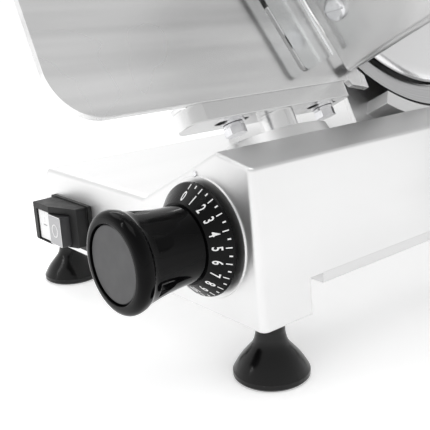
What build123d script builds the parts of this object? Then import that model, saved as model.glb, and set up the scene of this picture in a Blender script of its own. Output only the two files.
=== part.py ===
"""Gravity-feed deli slicer with a 250 mm blade.

Row frame, millimetres: +X to the operator's right, +Y to the back, +Z up, origin on the bench under
the middle of the machine. RIGHT and FRONT place the bottom corner of the base casting's right and
front walls; at(x, y, z) counts from that corner.

The blade leans, so its group is drawn on slope(n) planes: local x runs back along the machine,
local y climbs the slope, and local z is the blade's normal n, pointing to the carriage side.
The meat tray is turned by TRAY_TURN in that plane, and is drawn on tray planes.
"""

import os
from math import asin, cos, pi, radians, sin

from build123d import *

os.makedirs("parts", exist_ok=True)

# ---------------------------------------------------------------- driving dimensions

RIGHT = 94.5            # X of the base's right wall at its foot
FRONT = -165.0          # Y of the base's front wall at its foot

BASE_LENGTH = 410.0
BASE_BOTTOM = 38.0      # height of the feet under the base
BASE_WALL = 4.0
CORNER_ROUND = 4.6      # upright corners of the base
BASE_LEFT_LOW = -287.0  # left wall at the bottom edge
BASE_LEFT_TOP = -273.0  # left wall at the low deck
DECK = 104.0            # height of the low deck on the left
HUMP_FOOT = -118.0      # where the slope up to the hump starts
HUMP_TOP = (-38.0, 144.8)
HUMP_EDGE = (-6.5, 138.5)
HUMP_ROUND = 20.0       # the hump's top rolls over into the right wall
LEG_FRONT = 42.0        # the side arch runs between the legs
LEG_BACK = 374.0
ARCH = 62.0             # underside of the right wall over the arch

SLOPE = 27.0            # lean of the blade from upright
GAUGE_FOOT = (-60.0, 172.0)     # x and z of the gauge face's bottom edge
GAUGE_TRAVEL = 12.0
GAUGE_THICK = 5.0

BLADE_R = 125.0
BLADE_Y = 256.0         # blade centre, back from the front wall
BLADE_S = 92.0          # blade centre, up the slope
GAP_R = 127.5           # bore of the ring guard and curve of the gauge plate
RING_R = 139.0
RING_DEPTH = 25.0
MOTOR_S = -5.0          # motor axis, up the slope

DIAL = (-53.0, 88.0)    # x and z of the dial centre
DIAL_R = 37.4
DIAL_TURN = 204.0       # turn of the dial that opens the gauge fully
DIAL_FRONT = -17.9      # front of the scale cone
KNOB_LENGTH = 66.0

TRAY_TURN = 15.0
TRAY_EDGE = 144.0       # fence corner, back from the front wall
TRAY_S = 12.0
TRAY_N = 5.3
FENCE_WIDTH = 190.0
FENCE_HEIGHT = 128.0
FLOOR_DEPTH = 215.0

FIT = 0.05              # radial running clearance
GAP = 0.5               # clearance between parts that pass each other

HUMP_S = -34.2          # the hump's slope lies along the blade's normal at this s
POST_Y = 79.0
POST_N = -14.0
POST_R = 12.5
ROD_S = -62.0           # gauge slide rod, below the hump's slope
CARRIAGE_ROD = (-17.0, 74.0)
CARRIAGE_ROD_R = 6.0
GUIDE_Z = 98.0          # centre of the guide bar above the carriage rod
GUIDE_R = 4.0
FEET = [(-14.0, 18.0), (-274.0, 17.0), (-14.0, 393.0), (-272.0, 393.0)]
STUD_R = 4.0
SWITCH = (-259.0, -197.0, 44.0, 83.0)      # flange of the switch on the front wall
HATCH = (-206.0, -96.0, 184.0, 328.0)      # hole in the deck under the motor housing
INDEX_PIN = (-58.5, 128.7)
INLET = (-238.0, 72.0)
PAN_RIGHT = -29.0       # right wall of the bottom cover's pan
PAN_FRONT = 84.0
SHEET = 1.6
RING_SPAN = 124.0       # the ring guard reaches this far either side of straight back
BEARING_R = 20.0
SHAFT_R = 8.5
PULLEY_N = (-58.0, -46.0)
PULLEY_R = 48.0
DIAL_SHAFT_R = 5.0
LOCK_R = 4.0
TRAY_LEFT = 0.5
GUARD_E = (-45.5, -11.5)
GUARD_D = (7.5, 118.0)
GUARD_THICK = 4.5
SCREW_R = 2.5
SCREW_HEAD = 9.0
FENCE_SCREWS = [(19.5, 34.5), (13.0, 84.0), (13.0, 106.0)]
SPINDLE_R = 4.0
SHARPENER_POST_R = 5.0
PLATE_TOP = 185.0       # height of the gauge plate up the slope
PLATE_LEFT = -87.5      # its left edge, counted from the front wall
PLATE_ROUND = 31.0      # its two left corners
ROD_R = 7.0
MOTOR_PULLEY_R = 14.0
TIE_R = 4.0
COVER_R = 106.0

HOUSING_Y = (171.0, 341.0)
HOUSING_WALL = 4.0
BELT_COVER_R = 64.0
BELT_COVER_N = (-63.0, -25.0)

SHROUD_DEPTH = 22.0
BUTTON_W = 20.0
BUTTON_H = 25.0
HOOD = (-255.5, -200.0, 49.5, 82.0)        # outside of the hood round the buttons

CAM_Y = (50.0, 58.0)
CAM_R = 26.0
FOLLOWER_R = 2.4
CAM_START = 21.0        # follower's distance from the dial axis when closed

BLOCK_N = (-32.0, -5.0)
BLOCK_Y = (66.0, 92.0)
ARM_THICK = 12.0
ARM_Y = (-2.0, 144.0)
ARM_DEPTH = 26.0
BOLT_Y = (38.0, 124.0)
BOLT_N = -12.0

SLIDE_Y = (215.0, 295.0)
ARM_X = 30.0            # how far out from the right wall the arm's foot reaches
CARRIAGE_ARM_Y = (247.0, 293.0)
SADDLE = (88.0, 160.0, 88.0, 150.0)     # plate under the tray floor: m and e limits
TRAY_SHEET = 3.0
TRAY_LIP = 8.5          # depth of the cast rib under the fence

PIVOT_E = 12.0          # pusher rod, behind the fence's top edge
PIVOT_D = 112.0
PUSHER_ROD_R = 6.0
PUSHER_M = 138.0        # blade-side face of the pusher plate

HEAD = (14.0, 162.0, 92.0, 44.0)        # centre and size of the head, from the blade's axis
HEAD_N = (-34.0, 22.0)
POST_AT = (46.0, -14.0)                 # sharpener post: back from the axis, along the normal
STONE_R = 22.0
STONE_S = 144.0         # stones' centre above the blade's axis
STONE_THICK = 7.0
STONE_FACE = (-10.0, 4.0)               # working faces behind and in front of the blade


# ---------------------------------------------------------------- places and planes

def at(x, y, z):
    """A point counted from the base's bottom front right corner."""
    return Vector(RIGHT + x, FRONT + y, z)


NORMAL = Vector(cos(radians(SLOPE)), 0, sin(radians(SLOPE)))
UPSLOPE = Vector(-sin(radians(SLOPE)), 0, cos(radians(SLOPE)))
GAUGE_ORIGIN = at(GAUGE_FOOT[0], 0, GAUGE_FOOT[1])


def slope_point(y, s, n):
    """A point y back, s up the slope and n along the blade's normal."""
    return GAUGE_ORIGIN + Vector(0, 1, 0) * y + UPSLOPE * s + NORMAL * n


def slope(n):
    """The plane parallel to the blade at n, with its origin on the front wall."""
    return Plane(origin=slope_point(0, 0, n), x_dir=(0, 1, 0), z_dir=NORMAL)


def hub_plane(n):
    """The plane parallel to the blade at n, centred on the blade's axis."""
    return Plane(origin=slope_point(BLADE_Y, BLADE_S, n), x_dir=(0, 1, 0), z_dir=NORMAL)


def motor_plane(n):
    """The plane parallel to the blade at n, centred on the motor's axis."""
    return Plane(origin=slope_point(BLADE_Y, MOTOR_S, n), x_dir=(0, 1, 0), z_dir=NORMAL)


TRAY_BACK = Vector(0, 1, 0) * cos(radians(TRAY_TURN)) + UPSLOPE * sin(radians(TRAY_TURN))
TRAY_UP = UPSLOPE * cos(radians(TRAY_TURN)) - Vector(0, 1, 0) * sin(radians(TRAY_TURN))
TRAY_ORIGIN = slope_point(TRAY_EDGE, TRAY_S, TRAY_N)


def tray_point(m, e, d):
    """A point m out along the blade's normal, e back over the tray floor and d above it."""
    return TRAY_ORIGIN + NORMAL * m + TRAY_BACK * e + TRAY_UP * d


def floor_plane(d):
    """Parallel to the tray floor: local x runs out along the fence, local y back."""
    return Plane(origin=tray_point(0, 0, d), x_dir=NORMAL, z_dir=TRAY_UP)


def fence_plane(e):
    """Parallel to the fence, facing the operator: local x runs out along it, local y up."""
    return Plane(origin=tray_point(0, e, 0), x_dir=NORMAL, z_dir=-TRAY_BACK)


def side_plane(m):
    """Parallel to the blade, turned with the tray: local x runs back, local y up the fence."""
    return Plane(origin=tray_point(m, 0, 0), x_dir=TRAY_BACK, z_dir=NORMAL)


def front_plane(y):
    """Upright, facing the operator, at y back from the front wall: local x to the right, local y up."""
    return Plane(origin=at(0, y, 0), x_dir=(1, 0, 0), z_dir=(0, -1, 0))


def level(z):
    """Level plane at height z, with its origin on the base corner."""
    return Plane(origin=at(0, 0, z), x_dir=(1, 0, 0), z_dir=(0, 0, 1))


def save(piece, name):
    """Label a finished piece and write its STEP file."""
    piece.part.label = name
    export_step(piece.part, f"parts/{name}.step")


# ---------------------------------------------------------------- base


def hump(s, y=POST_Y, n=POST_N):
    """Plane parallel to the hump's slope at s: local x out along the normal, local y back."""
    return Plane(origin=slope_point(y, s, n), x_dir=NORMAL, z_dir=UPSLOPE)


BASE_OUTLINE = [
    (BASE_LEFT_LOW, BASE_BOTTOM),
    (BASE_LEFT_TOP, DECK + 1),
    (HUMP_FOOT, DECK),
    HUMP_TOP,
    HUMP_EDGE,
    (0, BASE_BOTTOM),
]


with BuildPart() as base_casting:
    with BuildSketch(front_plane(0)) as outline:
        Polygon(*BASE_OUTLINE, align=None)
        corners = outline.vertices().sort_by(Axis.X)
        fillet(corners[1:2], 12)
        fillet(corners[2:3], 24)
        fillet(corners[3:4], 5)
        fillet(corners[4:5], HUMP_ROUND)
    extrude(amount=-BASE_LENGTH)
    uprights = base_casting.edges().filter_by(GeomType.LINE).filter_by(lambda e: e.length > 50)
    uprights = uprights.filter_by(lambda e: abs(e.tangent_at(0.5).Z) > 0.9)
    fillet(uprights, CORNER_ROUND)
    fillet(base_casting.faces().sort_by(Axis.Y)[0].edges().filter_by(lambda e: e.center().Z > DECK - 6), 2.5)
    with BuildSketch(front_plane(BASE_WALL)) as hollow:
        Polygon(*BASE_OUTLINE, align=None)
        corners = hollow.vertices().sort_by(Axis.X)
        fillet(corners[1:2], 12)
        fillet(corners[2:3], 24)
        fillet(corners[3:4], 5)
        fillet(corners[4:5], HUMP_ROUND)
        offset(amount=-BASE_WALL, mode=Mode.REPLACE)
    extrude(amount=-(BASE_LENGTH - 2 * BASE_WALL), mode=Mode.SUBTRACT)
    with BuildSketch(front_plane(BASE_WALL)):
        with Locations(((BASE_LEFT_LOW - 3) / 2, BASE_BOTTOM + BASE_WALL / 2)):
            Rectangle(-BASE_LEFT_LOW - 3 * BASE_WALL, BASE_WALL + 2)
    extrude(amount=-(BASE_LENGTH - 2 * BASE_WALL), mode=Mode.SUBTRACT)
    # foot bosses in the four corners
    with BuildSketch(level(BASE_BOTTOM)):
        with Locations(*FEET):
            Circle(12)
    extrude(amount=26)
    with BuildSketch(level(BASE_BOTTOM)):
        with Locations(*FEET):
            Circle(STUD_R)
    extrude(amount=20, mode=Mode.SUBTRACT)
    # side arch for the carriage arm
    with BuildSketch(level(BASE_BOTTOM - 1)):
        with Locations((0, (LEG_FRONT + LEG_BACK) / 2)):
            Rectangle(40, LEG_BACK - LEG_FRONT)
    extrude(amount=ARCH - BASE_BOTTOM + 1, mode=Mode.SUBTRACT)
    # hatch under the motor housing
    with BuildSketch(level(DECK - 30)):
        with Locations(((HATCH[0] + HATCH[1]) / 2, (HATCH[2] + HATCH[3]) / 2)):
            RectangleRounded(HATCH[1] - HATCH[0], HATCH[3] - HATCH[2], 8)
    extrude(amount=60, mode=Mode.SUBTRACT)
    # raised oval where the gauge post comes out, and its slot
    with BuildSketch(hump(HUMP_S - 1)):
        with Locations((-GAUGE_TRAVEL / 2, 0)):
            Ellipse(27, 46)
    extrude(amount=9, taper=14)
    with BuildSketch(hump(HUMP_S - 12)):
        with Locations((-GAUGE_TRAVEL / 2, 0)):
            SlotOverall(2 * POST_R + GAUGE_TRAVEL + 2, 2 * POST_R + 2)
    extrude(amount=30, mode=Mode.SUBTRACT)
    # machined seat and hole for the dial, index hole, switch opening
    with BuildSketch(front_plane(-0.8)):
        with Locations(DIAL):
            Circle(DIAL_R + 2.5)
    extrude(amount=-3)
    with BuildSketch(front_plane(-2)):
        with Locations(DIAL):
            Circle(9)
        with Locations(INDEX_PIN):
            Circle(2)
        with Locations(((SWITCH[0] + SWITCH[1]) / 2, (SWITCH[2] + SWITCH[3]) / 2)):
            Rectangle(SWITCH[1] - SWITCH[0] - 8, SWITCH[3] - SWITCH[2] - 10)
    extrude(amount=-14, mode=Mode.SUBTRACT)
    with BuildSketch(front_plane(BASE_LENGTH - 10)):
        with Locations(INLET):
            Circle(10)
    extrude(amount=-20, mode=Mode.SUBTRACT)
    # bosses that hold the carriage rod behind the end walls
    for wall_y, way in ((BASE_WALL - 1, -1), (BASE_LENGTH - BASE_WALL + 1, 1)):
        with BuildSketch(front_plane(wall_y)):
            with Locations(CARRIAGE_ROD, (CARRIAGE_ROD[0], GUIDE_Z)):
                Circle(CARRIAGE_ROD_R + 3)
        extrude(amount=way * 8)
        with BuildSketch(front_plane(wall_y - way)):
            with Locations(CARRIAGE_ROD):
                Circle(CARRIAGE_ROD_R)
            with Locations((CARRIAGE_ROD[0], GUIDE_Z)):
                Circle(GUIDE_R)
        extrude(amount=way * 20, mode=Mode.SUBTRACT)
save(base_casting, "base_casting")

with BuildPart() as bottom_cover:
    with BuildSketch(level(BASE_BOTTOM + 1)) as cover_plan:
        with Locations(((PAN_RIGHT + BASE_LEFT_LOW + 9) / 2, BASE_LENGTH / 2)):
            Rectangle(PAN_RIGHT - BASE_LEFT_LOW - 9, BASE_LENGTH - 2 * BASE_WALL - 2)
        with Locations(*FEET):
            Circle(14, mode=Mode.SUBTRACT)
        with Locations((PAN_RIGHT, PAN_FRONT / 2)):
            Rectangle(60, PAN_FRONT, mode=Mode.SUBTRACT)
        with Locations((PAN_RIGHT, BASE_LENGTH)):
            Rectangle(60, 2 * (BASE_LENGTH - LEG_BACK), mode=Mode.SUBTRACT)
    extrude(amount=SHEET)
    # upturned right wall and front wall of the pan, beside the carriage channel
    with BuildSketch(level(BASE_BOTTOM + 1)):
        with Locations((PAN_RIGHT - SHEET / 2, (PAN_FRONT + LEG_BACK) / 2)):
            Rectangle(SHEET, LEG_BACK - PAN_FRONT)
        with Locations((PAN_RIGHT - 15, PAN_FRONT + SHEET / 2)):
            Rectangle(30, SHEET)
    extrude(amount=20)
save(bottom_cover, "bottom_cover")


# four turned rubber feet: a neck, a bell and a flat rim
with BuildPart() as feet:
    for x, y in FEET:
        with BuildSketch(Plane(origin=at(x, y, 0), x_dir=(1, 0, 0), z_dir=(0, -1, 0))):
            with BuildLine():
                Polyline((0, 0), (23.5, 0), (25, 1.5), (25, 4.5), (23, 8))
                Spline((23, 8), (15.5, 18), (10.2, 27), tangents=((-0.5, 0.9), (-0.15, 1)))
                Polyline((10.2, 27), (9.6, 30), (9.6, BASE_BOTTOM), (0, BASE_BOTTOM), (0, 0))
            make_face()
        revolve(axis=Axis(at(x, y, 0), (0, 0, 1)))
    with BuildSketch(level(BASE_BOTTOM - 16)):
        with Locations(*FEET):
            Circle(STUD_R)
    extrude(amount=20, mode=Mode.SUBTRACT)
save(feet, "feet")

with BuildPart() as foot_studs:
    with BuildSketch(level(BASE_BOTTOM - 16)):
        with Locations(*FEET):
            Circle(STUD_R)
    extrude(amount=36)
save(foot_studs, "foot_studs")

with BuildPart() as index_pin:
    with BuildSketch(front_plane(BASE_WALL)):
        with Locations(INDEX_PIN):
            Circle(2)
    extrude(amount=BASE_WALL + 0.8)
    fillet(index_pin.faces().sort_by(Axis.Y)[0].edges(), 0.6)
save(index_pin, "index_pin")

# ---------------------------------------------------------------- motor housing and blade ring

HOUSING_OUTLINE = [(-228, DECK), (-219, 147), (-101, 174), (-61.5, DECK + 20), (-61.5, DECK)]
HOUSING_INSIDE = [(-224, DECK - 4), (-215, 143), (-100, 169.5), (-66, DECK + 20), (-66, DECK - 4)]


with BuildPart() as ring_guard:
    with BuildSketch(hub_plane(-RING_DEPTH)):
        with BuildLine():
            upper_arc = CenterArc((0, 0), RING_R, -RING_SPAN, 2 * RING_SPAN)
            lower_arc = CenterArc((0, 0), GAP_R, -RING_SPAN, 2 * RING_SPAN)
            Line(upper_arc @ 0, lower_arc @ 0)
            Line(upper_arc @ 1, lower_arc @ 1)
        make_face()
    extrude(amount=RING_DEPTH + 1)
    # web behind the blade, with the bearing housing
    with BuildSketch(hub_plane(-RING_DEPTH)):
        with BuildLine():
            web_arc = CenterArc((0, 0), RING_R - 1, -RING_SPAN, 2 * RING_SPAN)
            Line(web_arc @ 0, (-44, -60))
            Line((-44, -60), (-44, 60))
            Line((-44, 60), web_arc @ 1)
        make_face()
    extrude(amount=4)
    # foot of the web, down to the base
    with BuildSketch(hub_plane(-RING_DEPTH)):
        with Locations((0, -107)):
            Rectangle(184, 100)
    extrude(amount=4)
    with BuildSketch(hub_plane(-42)):
        Circle(29)
    extrude(amount=28)
    with BuildSketch(hub_plane(-42)):
        Circle(BEARING_R)
    extrude(amount=40, mode=Mode.SUBTRACT)
    with BuildSketch(hub_plane(-20.5)):
        with Locations((0, RING_R)):
            Rectangle(54, 30)
    extrude(amount=40, mode=Mode.SUBTRACT)
    with BuildSketch(Plane(origin=slope_point(BLADE_Y + 46, BLADE_S + 121, -14), x_dir=(0, 1, 0), z_dir=UPSLOPE)):
        Circle(SHARPENER_POST_R)
    extrude(amount=40, mode=Mode.SUBTRACT)
    with BuildSketch(front_plane(0)):
        Polygon(*BASE_OUTLINE, align=None)
    extrude(amount=-BASE_LENGTH, mode=Mode.SUBTRACT)
save(ring_guard, "ring_guard")

with BuildPart() as motor_housing:
    with BuildSketch(front_plane(HOUSING_Y[0])):
        Polygon(*HOUSING_OUTLINE, align=None)
    extrude(amount=-(HOUSING_Y[1] - HOUSING_Y[0]))
    top_edges = motor_housing.faces().filter_by(lambda f: f.normal_at().Z > 0.9).sort_by(Axis.Z)[-1].edges()
    long_edges = top_edges.filter_by(lambda e: abs(e.tangent_at(0.5).X) > 0.5)
    left_edge = top_edges.sort_by(Axis.X)[:1]
    fillet(list(long_edges) + list(left_edge), 20)
    with BuildSketch(front_plane(HOUSING_Y[0] + HOUSING_WALL)):
        Polygon(*HOUSING_INSIDE, align=None)
    extrude(amount=-(HOUSING_Y[1] - HOUSING_Y[0] - 2 * HOUSING_WALL), mode=Mode.SUBTRACT)
    # way up for the belt, beside the blade web
    with BuildSketch(motor_plane(PULLEY_N[0] - 2)):
        with Locations((0, 40)):
            Rectangle(100, 90)
    extrude(amount=PULLEY_N[1] - PULLEY_N[0] + 4, mode=Mode.SUBTRACT)
    with BuildSketch(hub_plane(-RING_DEPTH)):
        Rectangle(500, 500)
    extrude(amount=60, mode=Mode.SUBTRACT)
    with BuildSketch(front_plane(0)):
        Polygon(*BASE_OUTLINE, align=None)
    extrude(amount=-BASE_LENGTH, mode=Mode.SUBTRACT)
save(motor_housing, "motor_housing")


with BuildPart() as belt_cover:
    with BuildSketch(hub_plane(BELT_COVER_N[0])) as cover_shape:
        Circle(BELT_COVER_R)
        with Locations((0, (MOTOR_S - BLADE_S) / 2)):
            Rectangle(2 * BELT_COVER_R - 16, BLADE_S - MOTOR_S)
    extrude(amount=BELT_COVER_N[1] - BELT_COVER_N[0])
    fillet(belt_cover.faces().filter_by(lambda f: f.normal_at().dot(NORMAL) < -0.9).edges(), 7)
    with BuildSketch(hub_plane(BELT_COVER_N[0] + 2.5)):
        Circle(BELT_COVER_R - 3)
        with Locations((0, (MOTOR_S - BLADE_S) / 2)):
            Rectangle(2 * BELT_COVER_R - 22, BLADE_S - MOTOR_S + 10)
    extrude(amount=60, mode=Mode.SUBTRACT)
    with BuildSketch(hub_plane(BELT_COVER_N[0] - 5)):
        Circle(TIE_R + 1)
    extrude(amount=20, mode=Mode.SUBTRACT)
    with BuildSketch(front_plane(HOUSING_Y[0] - 20)):
        with Locations((0, 0.2)):
            Polygon((-260, 0), (-228, DECK), (-219, 147), (-101, 174), (-20, 192.5), (-20, 0), align=None)
    extrude(amount=-(HOUSING_Y[1] - HOUSING_Y[0] + 40), mode=Mode.SUBTRACT)
save(belt_cover, "belt_cover")


# two sealed ball bearings, pressed into the web's boss; the shaft runs in them
with BuildPart() as bearings:
    for start in (-41.5, -27):
        with BuildSketch(hub_plane(start)):
            Circle(BEARING_R)
            Circle(SHAFT_R + FIT, mode=Mode.SUBTRACT)
        extrude(amount=12)
        with BuildSketch(hub_plane(start + 11)):
            Circle(17.5)
            Circle(11.5, mode=Mode.SUBTRACT)
        extrude(amount=1, mode=Mode.SUBTRACT)
save(bearings, "bearings")

# ---------------------------------------------------------------- blade

with BuildPart() as blade:
    with BuildSketch(Plane(origin=slope_point(BLADE_Y, BLADE_S, 0), x_dir=(0, 1, 0), z_dir=-UPSLOPE)):
        Polygon(
            (SHAFT_R, -2.5), (108, -2.5), (BLADE_R, 0), (BLADE_R, -0.3), (113, -5.5), (SHAFT_R, -5.5),
            align=None,
        )
    revolve(axis=Axis(slope_point(BLADE_Y, BLADE_S, 0), NORMAL))
    with BuildSketch(hub_plane(-6)):
        with PolarLocations(24, 3):
            Circle(3.2)
    extrude(amount=6, mode=Mode.SUBTRACT)
save(blade, "blade")

with BuildPart() as blade_shaft:
    with BuildSketch(hub_plane(-9.5)):
        Circle(34)
    extrude(amount=4)
    with BuildSketch(hub_plane(PULLEY_N[0])):
        Circle(SHAFT_R)
    extrude(amount=-PULLEY_N[0] - 2.5)
    with BuildSketch(hub_plane(-14.5)):
        Circle(12)
    extrude(amount=6)
    with BuildSketch(hub_plane(-11)):
        with PolarLocations(24, 3):
            Circle(2.5)
    extrude(amount=10, mode=Mode.SUBTRACT)
    with BuildSketch(hub_plane(-70)):
        Circle(TIE_R + GAP)
    extrude(amount=80, mode=Mode.SUBTRACT)
save(blade_shaft, "blade_shaft")

with BuildPart() as blade_screws:
    with BuildSketch(hub_plane(-9.5)):
        with PolarLocations(24, 3):
            Circle(2.5)
    extrude(amount=8)
    with BuildSketch(hub_plane(-2.5)):
        with PolarLocations(24, 3):
            Circle(4.5)
    extrude(amount=2)
save(blade_screws, "blade_screws")

with BuildPart() as blade_pulley:
    with BuildSketch(hub_plane(PULLEY_N[0])):
        Circle(PULLEY_R)
        Circle(SHAFT_R, mode=Mode.SUBTRACT)
        with PolarLocations(30, 5):
            Circle(9, mode=Mode.SUBTRACT)
    extrude(amount=PULLEY_N[1] - PULLEY_N[0])
    with BuildSketch(hub_plane(PULLEY_N[0] + 1)):
        Circle(PULLEY_R + 1)
        Circle(PULLEY_R - 1, mode=Mode.SUBTRACT)
    extrude(amount=10, mode=Mode.SUBTRACT)
save(blade_pulley, "blade_pulley")

with BuildPart() as blade_cover:
    with BuildSketch(Plane(origin=slope_point(BLADE_Y, BLADE_S, 0), x_dir=(0, 1, 0), z_dir=-UPSLOPE)):
        with BuildLine():
            Polyline((0, 4.6), (96, 4.0))
            Spline((96, 4.0), (103, 3.2), (COVER_R, 0.4), tangents=((1, -0.05), (0.3, -1)))
            Polyline((COVER_R, 0.4), (COVER_R - 2, 0.4), (COVER_R - 5, 1.6), (0, 1.6), (0, 4.6))
        make_face()
    revolve(axis=Axis(slope_point(BLADE_Y, BLADE_S, 0), NORMAL))
    with BuildSketch(hub_plane(-1)):
        Circle(TIE_R)
    extrude(amount=4, mode=Mode.SUBTRACT)
save(blade_cover, "blade_cover")

with BuildPart() as tie_rod:
    with BuildSketch(hub_plane(-84)):
        Circle(TIE_R)
    extrude(amount=87)
save(tie_rod, "tie_rod")

with BuildPart() as tie_knob:
    with BuildSketch(hub_plane(-92)):
        Circle(17)
        with PolarLocations(20.5, 6):
            Circle(6.5, mode=Mode.SUBTRACT)
    extrude(amount=20)
    fillet(tie_knob.faces().filter_by(lambda f: abs(f.normal_at().dot(NORMAL)) > 0.9).edges(), 1.5)
    with BuildSketch(hub_plane(-72)):
        Circle(9)
    extrude(amount=8)
    with BuildSketch(hub_plane(-84)):
        Circle(TIE_R)
    extrude(amount=30, mode=Mode.SUBTRACT)
save(tie_knob, "tie_knob")

# ---------------------------------------------------------------- drive

with BuildPart() as motor_body:
    with BuildSketch(motor_plane(-144)):
        Circle(28)
    extrude(amount=82)
    fillet(motor_body.edges(), 3)
    with BuildSketch(motor_plane(-134)):
        Circle(31)
    extrude(amount=60)
    with BuildSketch(motor_plane(-110)):
        Circle(6 + FIT)
    extrude(amount=60, mode=Mode.SUBTRACT)
save(motor_body, "motor_body")

with BuildPart() as motor_shaft:
    with BuildSketch(motor_plane(-109)):
        Circle(6)
    extrude(amount=109 + PULLEY_N[1])
save(motor_shaft, "motor_shaft")

with BuildPart() as motor_pulley:
    with BuildSketch(motor_plane(PULLEY_N[0])):
        Circle(MOTOR_PULLEY_R)
        Circle(6, mode=Mode.SUBTRACT)
    extrude(amount=PULLEY_N[1] - PULLEY_N[0])
    with BuildSketch(motor_plane(PULLEY_N[0] + 1)):
        Circle(MOTOR_PULLEY_R + 1)
        Circle(MOTOR_PULLEY_R - 1, mode=Mode.SUBTRACT)
    extrude(amount=10, mode=Mode.SUBTRACT)
save(motor_pulley, "motor_pulley")


def belt_loop(offset_out):
    """Points of a belt's run round both pulleys, as (big centre, small centre, big radius, small radius)."""
    return PULLEY_R - 1 + offset_out, MOTOR_PULLEY_R - 1 + offset_out


with BuildPart() as drive_belt:
    big_outer, small_outer = belt_loop(3.2)
    big_inner, small_inner = belt_loop(0.2)
    with BuildSketch(hub_plane(PULLEY_N[0] + 1.5)):
        for big, small, mode in ((big_outer, small_outer, Mode.ADD), (big_inner, small_inner, Mode.SUBTRACT)):
            lean = asin((big - small) / (BLADE_S - MOTOR_S))
            drop = MOTOR_S - BLADE_S
            Circle(big, mode=mode)
            with Locations((0, drop)):
                Circle(small, mode=mode)
            Polygon(
                (big * cos(lean), big * -sin(lean)),
                (-big * cos(lean), big * -sin(lean)),
                (-small * cos(lean), drop - small * sin(lean)),
                (small * cos(lean), drop - small * sin(lean)),
                align=None,
                mode=mode,
            )
    extrude(amount=9)
save(drive_belt, "drive_belt")

with BuildPart() as capacitor:
    with BuildSketch(front_plane(70)):
        with Locations((-238, 68)):
            Circle(17)
    extrude(amount=-62)
    fillet(capacitor.edges(), 1.5)
save(capacitor, "capacitor")

with BuildPart() as power_inlet:
    with BuildSketch(front_plane(BASE_LENGTH - BASE_WALL - 6)):
        with Locations(INLET):
            Circle(10)
    extrude(amount=-24)
    with BuildSketch(front_plane(BASE_LENGTH)):
        with Locations(INLET):
            RegularPolygon(13, 6)
    extrude(amount=-6)
    with BuildSketch(front_plane(BASE_LENGTH - 20)):
        with Locations(INLET):
            Circle(4.5)
    extrude(amount=-60, mode=Mode.SUBTRACT)
save(power_inlet, "power_inlet")

# ---------------------------------------------------------------- switch

SWITCH_X = (SWITCH[0] + SWITCH[1]) / 2
SWITCH_Z = (SWITCH[2] + SWITCH[3]) / 2
SWITCH_W = SWITCH[1] - SWITCH[0]
SWITCH_H = SWITCH[3] - SWITCH[2]
ON_X = SWITCH_X - 11.3
OFF_X = SWITCH_X + 10.0

with BuildPart() as switch_housing:
    with BuildSketch(front_plane(0)):
        with Locations((SWITCH_X, SWITCH_Z)):
            RectangleRounded(SWITCH_W, SWITCH_H, 2)
    extrude(amount=3)
    with BuildSketch(front_plane(-3)):
        with Locations(((HOOD[0] + HOOD[1]) / 2, (HOOD[2] + HOOD[3]) / 2)):
            RectangleRounded(HOOD[1] - HOOD[0], HOOD[3] - HOOD[2], 2)
    extrude(amount=SHROUD_DEPTH - 3, taper=1)
    with BuildSketch(front_plane(18)):
        with Locations((SWITCH_X, SWITCH_Z)):
            Rectangle(SWITCH_W - 12, SWITCH_H - 14)
    extrude(amount=18)
    with BuildSketch(front_plane(12)):
        with Locations((ON_X, SWITCH_Z), (OFF_X, SWITCH_Z)):
            Rectangle(BUTTON_W + 1, BUTTON_H + 1)
    extrude(amount=60, mode=Mode.SUBTRACT)
    # the hood slants back beside the stop button, so a hand can strike it
    with BuildSketch(level(SWITCH[2] - 5)):
        Polygon(
            (ON_X + 11, -SHROUD_DEPTH - 1), (ON_X + 11, -SHROUD_DEPTH), (HOOD[1] + 1, -SHROUD_DEPTH + 10.5),
            (HOOD[1] + 1, -SHROUD_DEPTH - 1),
            align=None,
        )
    extrude(amount=SWITCH_H + 10, mode=Mode.SUBTRACT)
save(switch_housing, "switch_housing")


def button(x, proud, name):
    """Square push button; proud is how far it stands out of the shroud."""
    with BuildPart() as piece:
        with BuildSketch(front_plane(4)):
            with Locations((x, SWITCH_Z)):
                RectangleRounded(BUTTON_W, BUTTON_H, 1)
        extrude(amount=4 + SHROUD_DEPTH + proud)
        fillet(piece.faces().sort_by(Axis.Y)[0].edges(), 0.6)
    save(piece, name)


button(ON_X, -1.2, "on_button")
button(OFF_X, 1.0, "off_button")

# ---------------------------------------------------------------- thickness dial


def on_dial(y):
    """Front plane centred on the dial's axis."""
    return Plane(origin=at(DIAL[0], y, DIAL[1]), x_dir=(1, 0, 0), z_dir=(0, -1, 0))


with BuildPart() as dial_bush:
    with BuildSketch(on_dial(14)):
        Circle(9)
    extrude(amount=14.8)
    with BuildSketch(on_dial(20)):
        Circle(13)
    extrude(amount=16 - BASE_WALL)
    with BuildSketch(on_dial(30)):
        Circle(DIAL_SHAFT_R + FIT)
    extrude(amount=60, mode=Mode.SUBTRACT)
save(dial_bush, "dial_bush")

with BuildPart() as dial_shaft:
    with BuildSketch(on_dial(CAM_Y[1] - 5)):
        Circle(DIAL_SHAFT_R)
    extrude(amount=CAM_Y[1] - 5 + 40)
save(dial_shaft, "dial_shaft")

with BuildPart() as dial_skirt:
    with BuildSketch(Plane(origin=at(DIAL[0], 0, DIAL[1]), x_dir=(1, 0, 0), z_dir=(0, 0, 1))):
        Polygon(
            (DIAL_SHAFT_R, -1.4), (28.5, -1.4), (30, -3.4), (36.6, -5.1), (DIAL_R, -5.8),
            (36.9, -7.1), (26.4, DIAL_FRONT), (DIAL_SHAFT_R, DIAL_FRONT),
            align=None,
        )
    revolve(axis=Axis(at(DIAL[0], 0, DIAL[1]), (0, 1, 0)))
save(dial_skirt, "dial_skirt")

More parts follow.
